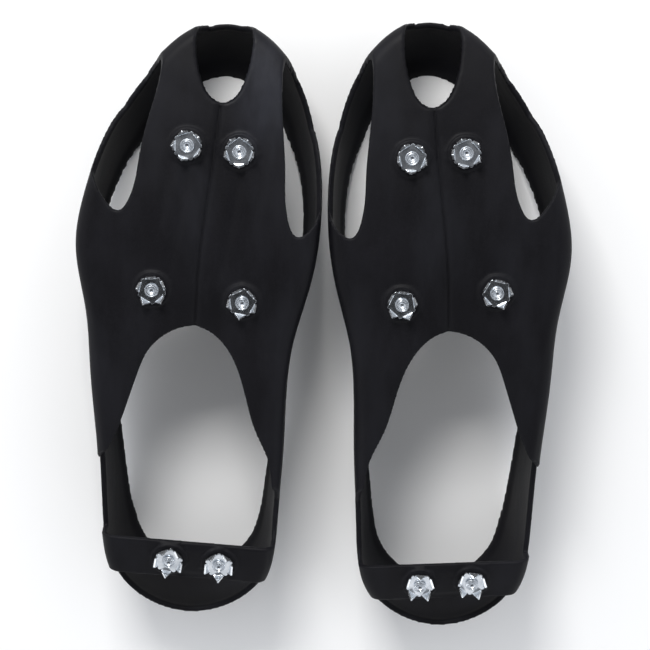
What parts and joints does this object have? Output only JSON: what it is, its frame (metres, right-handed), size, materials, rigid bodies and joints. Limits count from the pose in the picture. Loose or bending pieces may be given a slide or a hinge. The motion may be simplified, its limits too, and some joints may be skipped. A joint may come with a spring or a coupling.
{
  "type": "shoe ice cleats",
  "caption": "Pair of slip-on rubber ice cleats: stretchy overshoes with a sole panel, toe band, side walls and heel strap, carrying toothed metal studs that turn on tubular rivets.",
  "frame": {"origin": "middle of the pair's box, on the surface that the toe bands and heel rims rest on", "axes": "+Z out of the soles, so the pair lies sole up; +Y to the toes; +X across, with the right foot's cleat at -X and the left foot's at +X. A half turn about Y puts the studs down, as in use"},
  "size_m": [0.2481, 0.319, 0.0695],
  "materials": {
    "rubber": "matte black moulded rubber with a faint grey bloom",
    "stud_plate": "bright zinc-plated pressed steel",
    "rivet": "bright zinc-plated steel",
    "washer": "zinc-plated steel"
  },
  "bodies": {
    "pair": {"right_rubber_overshoe": "rubber", "right_toe_outer_rivet": "rivet", "right_toe_outer_washer": "washer", "right_toe_inner_rivet": "rivet", "right_toe_inner_washer": "washer", "right_ball_outer_rivet": "rivet", "right_ball_outer_washer": "washer", "right_ball_inner_rivet": "rivet", "right_ball_inner_washer": "washer", "right_heel_outer_rivet": "rivet", "right_heel_outer_washer": "washer", "right_heel_inner_rivet": "rivet", "right_heel_inner_washer": "washer", "left_rubber_overshoe": "rubber", "left_toe_outer_rivet": "rivet", "left_toe_outer_washer": "washer", "left_toe_inner_rivet": "rivet", "left_toe_inner_washer": "washer", "left_ball_outer_rivet": "rivet", "left_ball_outer_washer": "washer", "left_ball_inner_rivet": "rivet", "left_ball_inner_washer": "washer", "left_heel_outer_rivet": "rivet", "left_heel_outer_washer": "washer", "left_heel_inner_rivet": "rivet", "left_heel_inner_washer": "washer"},
    "right_toe_outer_plate": {"right_toe_outer_stud_plate": "stud_plate"},
    "right_toe_inner_plate": {"right_toe_inner_stud_plate": "stud_plate"},
    "right_ball_outer_plate": {"right_ball_outer_stud_plate": "stud_plate"},
    "right_ball_inner_plate": {"right_ball_inner_stud_plate": "stud_plate"},
    "right_heel_outer_plate": {"right_heel_outer_stud_plate": "stud_plate"},
    "right_heel_inner_plate": {"right_heel_inner_stud_plate": "stud_plate"},
    "left_toe_outer_plate": {"left_toe_outer_stud_plate": "stud_plate"},
    "left_toe_inner_plate": {"left_toe_inner_stud_plate": "stud_plate"},
    "left_ball_outer_plate": {"left_ball_outer_stud_plate": "stud_plate"},
    "left_ball_inner_plate": {"left_ball_inner_stud_plate": "stud_plate"},
    "left_heel_outer_plate": {"left_heel_outer_stud_plate": "stud_plate"},
    "left_heel_inner_plate": {"left_heel_inner_stud_plate": "stud_plate"}
  },
  "joints": [
    {"name": "right_toe_outer_plate_turn", "type": "hinge", "parent": "pair", "child": "right_toe_outer_plate", "pos_m": [-0.068, 0.10029, 0.0594], "axis": [0, 0.15, 0.9887], "continuous": true},
    {"name": "right_toe_inner_plate_turn", "type": "hinge", "parent": "pair", "child": "right_toe_inner_plate", "pos_m": [-0.0425, 0.09778, 0.05978], "axis": [0, 0.1438, 0.9896], "continuous": true},
    {"name": "right_ball_outer_plate_turn", "type": "hinge", "parent": "pair", "child": "right_ball_outer_plate", "pos_m": [-0.085, 0.0285, 0.06395], "axis": [0, 0, 1], "continuous": true},
    {"name": "right_ball_inner_plate_turn", "type": "hinge", "parent": "pair", "child": "right_ball_inner_plate", "pos_m": [-0.04, 0.023, 0.06395], "axis": [0, 0, 1], "continuous": true},
    {"name": "right_heel_outer_plate_turn", "type": "hinge", "parent": "pair", "child": "right_heel_outer_plate", "pos_m": [-0.0765, -0.11686, 0.06077], "axis": [0, -0.1861, 0.9825], "continuous": true},
    {"name": "right_heel_inner_plate_turn", "type": "hinge", "parent": "pair", "child": "right_heel_inner_plate", "pos_m": [-0.0505, -0.11889, 0.06038], "axis": [0, -0.1972, 0.9804], "continuous": true},
    {"name": "left_toe_outer_plate_turn", "type": "hinge", "parent": "pair", "child": "left_toe_outer_plate", "pos_m": [0.0685, 0.09979, 0.05948], "axis": [0, 0.1487, 0.9889], "continuous": true},
    {"name": "left_toe_inner_plate_turn", "type": "hinge", "parent": "pair", "child": "left_toe_inner_plate", "pos_m": [0.042, 0.09677, 0.05992], "axis": [0, 0.1412, 0.99], "continuous": true},
    {"name": "left_ball_outer_plate_turn", "type": "hinge", "parent": "pair", "child": "left_ball_outer_plate", "pos_m": [0.0865, 0.031, 0.06395], "axis": [0, 0, 1], "continuous": true},
    {"name": "left_ball_inner_plate_turn", "type": "hinge", "parent": "pair", "child": "left_ball_inner_plate", "pos_m": [0.0395, 0.024, 0.06395], "axis": [0, 0, 1], "continuous": true},
    {"name": "left_heel_outer_plate_turn", "type": "hinge", "parent": "pair", "child": "left_heel_outer_plate", "pos_m": [0.0815, -0.12647, 0.05868], "axis": [0, -0.2389, 0.971], "continuous": true},
    {"name": "left_heel_inner_plate_turn", "type": "hinge", "parent": "pair", "child": "left_heel_inner_plate", "pos_m": [0.0545, -0.12849, 0.05817], "axis": [0, -0.25, 0.9682], "continuous": true}
  ]
}
